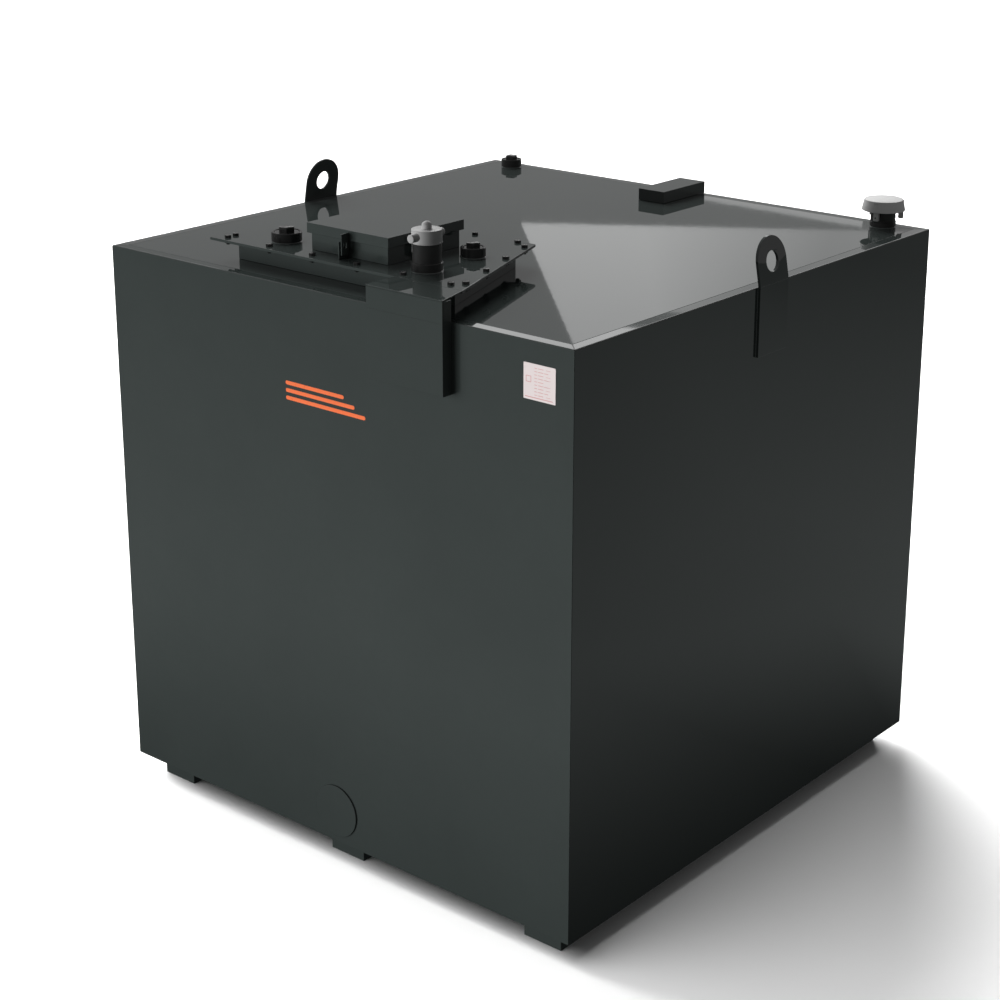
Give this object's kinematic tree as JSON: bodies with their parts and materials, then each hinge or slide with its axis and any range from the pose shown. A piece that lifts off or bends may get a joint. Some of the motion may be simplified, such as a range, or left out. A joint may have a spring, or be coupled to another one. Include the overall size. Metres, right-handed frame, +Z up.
{
  "type": "square steel storage tank on skids",
  "caption": "Box-shaped painted steel storage tank on skids, with a bolted top hatch, hinged lockable fill lid, gauge, vent and lifting lugs.",
  "frame": {"origin": "on the ground, under the middle of the whole part's outline", "axes": "+Z up, the front wall with the pipe shroud faces -Y, +X to the right seen from the front"},
  "size_m": [1.3276, 1.3574, 1.452],
  "materials": {
    "dark_paint": "semi-gloss dark grey paint",
    "black_steel": "black painted pipe fittings",
    "white_plastic": "satin light grey plastic",
    "zinc_plate": "zinc-plated steel"
  },
  "bodies": {
    "tank": {"front_wall": "dark_paint", "right_wall": "dark_paint", "back_wall": "dark_paint", "left_wall": "dark_paint", "base_plate": "dark_paint", "top_plate": "dark_paint", "skid_left": "dark_paint", "skid_middle": "dark_paint", "skid_right": "dark_paint", "lifting_lug_left": "dark_paint", "lifting_lug_right": "dark_paint", "hatch_upstand_front": "dark_paint", "hatch_upstand_right": "dark_paint", "hatch_upstand_back": "dark_paint", "hatch_upstand_left": "dark_paint", "hatch_plate": "dark_paint", "fill_box_front": "dark_paint", "fill_box_right": "dark_paint", "fill_box_back": "dark_paint", "fill_box_left": "dark_paint", "hinge_knuckle_left": "dark_paint", "hinge_knuckle_right": "dark_paint", "hinge_pin": "zinc_plate", "hasp_staple": "dark_paint", "left_socket": "black_steel", "left_plug": "black_steel", "right_socket": "black_steel", "right_plug": "black_steel", "rear_socket": "black_steel", "rear_plug": "black_steel", "gauge_socket": "black_steel", "gauge_pipe": "black_steel", "gauge_cap": "white_plastic", "vent_neck": "black_steel", "vent_cap": "white_plastic", "rear_cover": "dark_paint", "shroud_top": "dark_paint", "shroud_front": "dark_paint", "shroud_left_cheek": "dark_paint", "shroud_right_cheek": "dark_paint", "blanking_disc": "dark_paint"},
    "lid": {"fill_lid": "dark_paint", "lid_knuckle": "dark_paint", "lid_hasp": "dark_paint"}
  },
  "joints": [
    {"name": "fill_lid_hinge", "type": "hinge", "parent": "tank", "child": "lid", "pos_m": [-0.03, -0.31085, 1.3809], "axis": [-1, 0, 0], "range_deg": [0, 110]}
  ]
}
